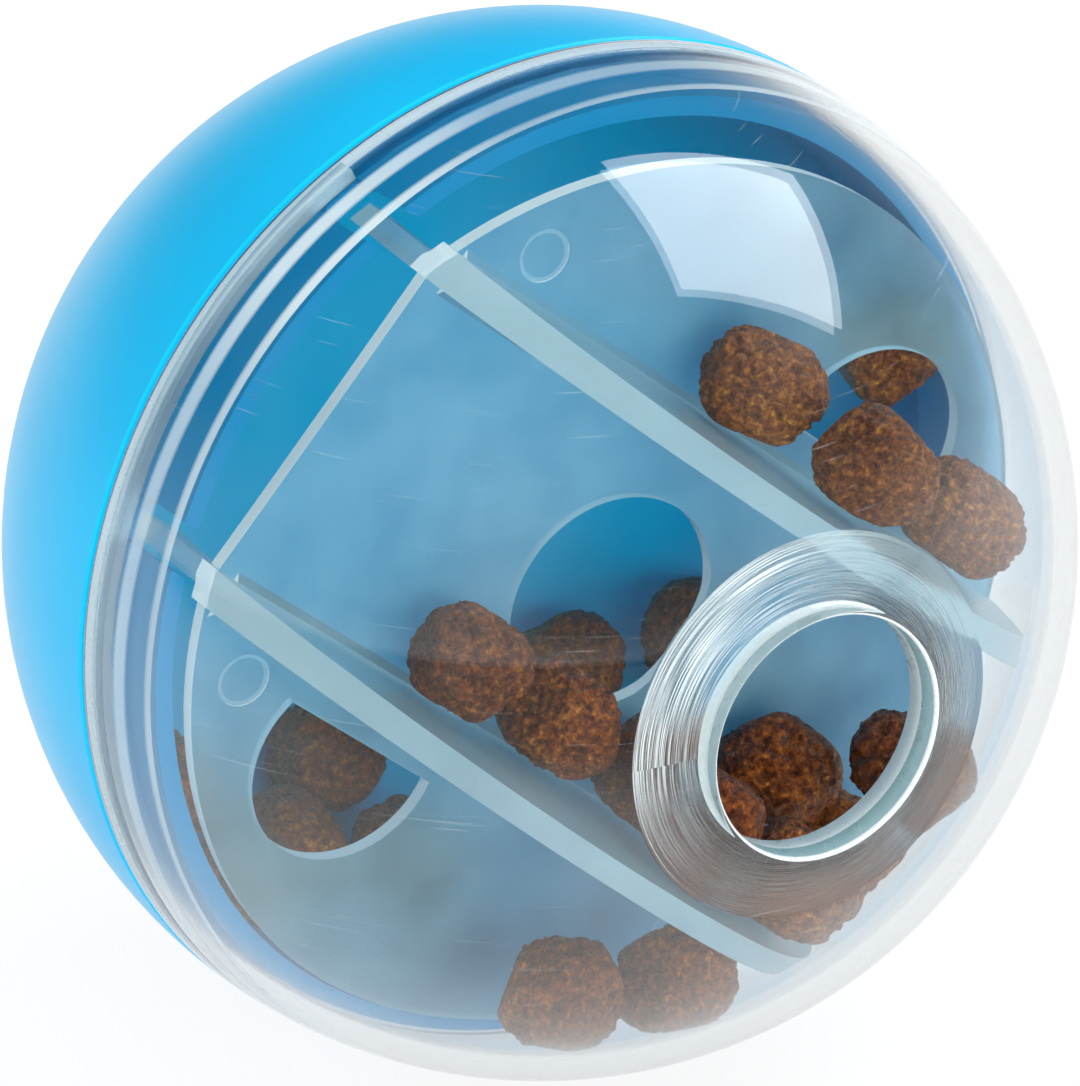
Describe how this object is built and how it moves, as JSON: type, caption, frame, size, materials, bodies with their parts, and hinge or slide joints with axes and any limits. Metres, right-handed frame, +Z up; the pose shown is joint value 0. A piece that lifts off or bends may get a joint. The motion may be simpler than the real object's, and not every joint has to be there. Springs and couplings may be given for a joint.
{
  "type": "treat dispensing ball",
  "caption": "Screw-together pet snack ball with a blue half, a clear half with a round dispensing hole, and a loose frosted maze that holds dry treats.",
  "frame": {"origin": "centre of the ball", "axes": "-Y points out of the dispensing hole along the ball's own axis, +Z is up against gravity, +X is to the right seen from the front"},
  "size_m": [0.07, 0.0689, 0.07],
  "materials": {
    "blue_plastic": "glossy, opaque, moulded",
    "clear_plastic": "clear moulded styrene plastic, polished outside",
    "frosted_plastic": "milky, half clear, moulded",
    "treat": "dry baked crumb, rough"
  },
  "bodies": {
    "blue_side": {"blue_half": "blue_plastic", "treat_14": "treat", "treat_15": "treat", "treat_16": "treat", "treat_17": "treat", "treat_18": "treat", "treat_19": "treat", "treat_20": "treat", "treat_21": "treat"},
    "maze_and_treats": {"maze": "frosted_plastic", "treat_01": "treat", "treat_02": "treat", "treat_03": "treat", "treat_04": "treat", "treat_05": "treat", "treat_06": "treat", "treat_07": "treat", "treat_08": "treat", "treat_09": "treat", "treat_10": "treat", "treat_11": "treat"},
    "lifted_treat": {"treat_12": "treat"},
    "drawn_treat": {"treat_13": "treat"},
    "clear_side": {"clear_half": "clear_plastic"}
  },
  "joints": [
    {"name": "maze_rock", "type": "hinge", "parent": "blue_side", "child": "maze_and_treats", "pos_m": [0, 0, 0], "axis": [-0.766, 0, 0.6428], "range_deg": [0, 8]},
    {"name": "lift_off", "type": "slide", "parent": "blue_side", "child": "lifted_treat", "axis": [0, -1, 0], "range_m": [0, 0.045]},
    {"name": "halves_part", "type": "slide", "parent": "lifted_treat", "child": "drawn_treat", "axis": [0, -1, 0], "range_m": [0, 0.0024]},
    {"name": "unscrew", "type": "hinge", "parent": "drawn_treat", "child": "clear_side", "pos_m": [0, 0, 0], "axis": [0, -1, 0], "range_deg": [0, 360]}
  ],
  "couplings": [
    {"joint": "halves_part", "follows": "unscrew", "m_per_rad": 0.00038197}
  ]
}
